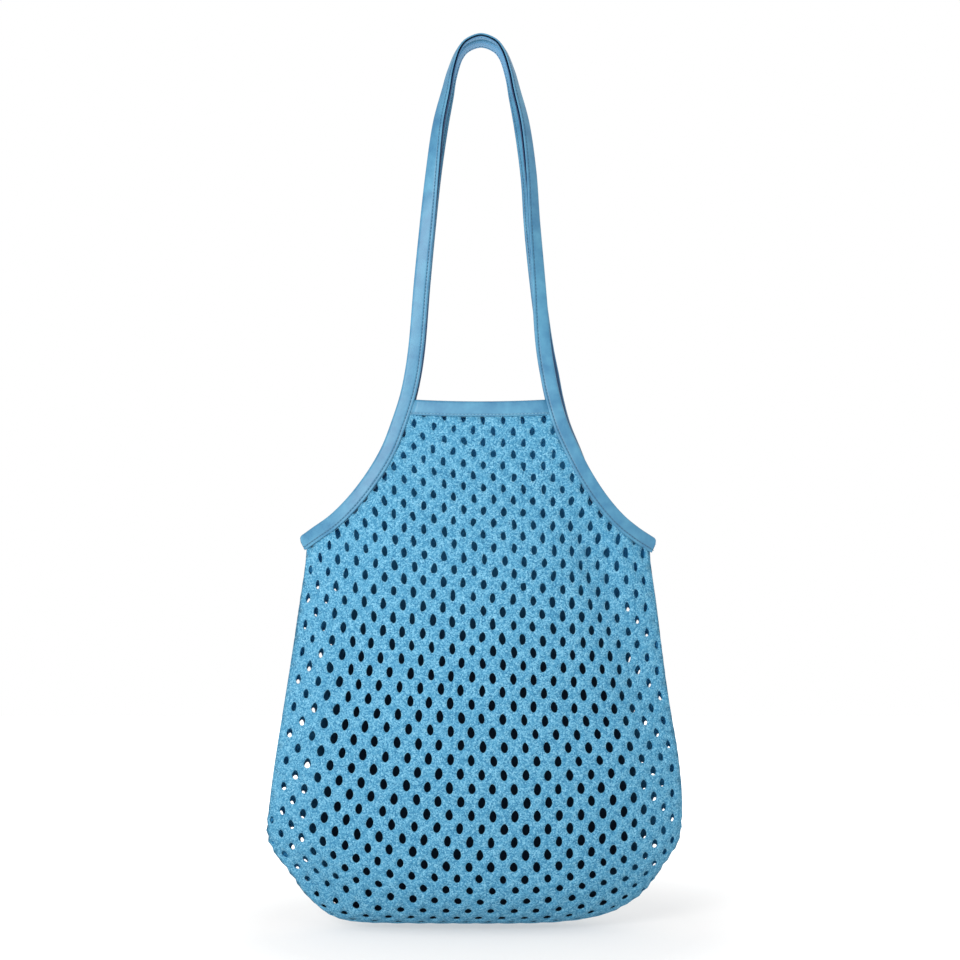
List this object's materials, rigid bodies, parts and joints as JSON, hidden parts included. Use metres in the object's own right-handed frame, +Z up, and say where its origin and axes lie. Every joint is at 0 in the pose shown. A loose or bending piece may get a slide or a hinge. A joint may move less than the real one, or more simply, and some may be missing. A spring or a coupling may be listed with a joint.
{
  "type": "leather-trimmed net market bag",
  "caption": "Soft hollow net market bag with leather-bound neck and armhole edges and long leather strap handles, hung up by its handles.",
  "frame": {"origin": "point under the crown of the front handle where the bag hangs, on the plane between front and back", "axes": "+Z up along the hanging bag, -Y out of its front, +X to the right seen from the front"},
  "size_m": [0.3209, 0.093, 0.6892],
  "materials": {
    "net": "matte, granular",
    "leather": "smooth, soft sheen"
  },
  "bodies": {
    "root": {"mesh_body": "net", "front_handle": "leather", "back_handle": "leather", "front_neck_binding": "leather", "back_neck_binding": "leather"}
  },
  "joints": []
}
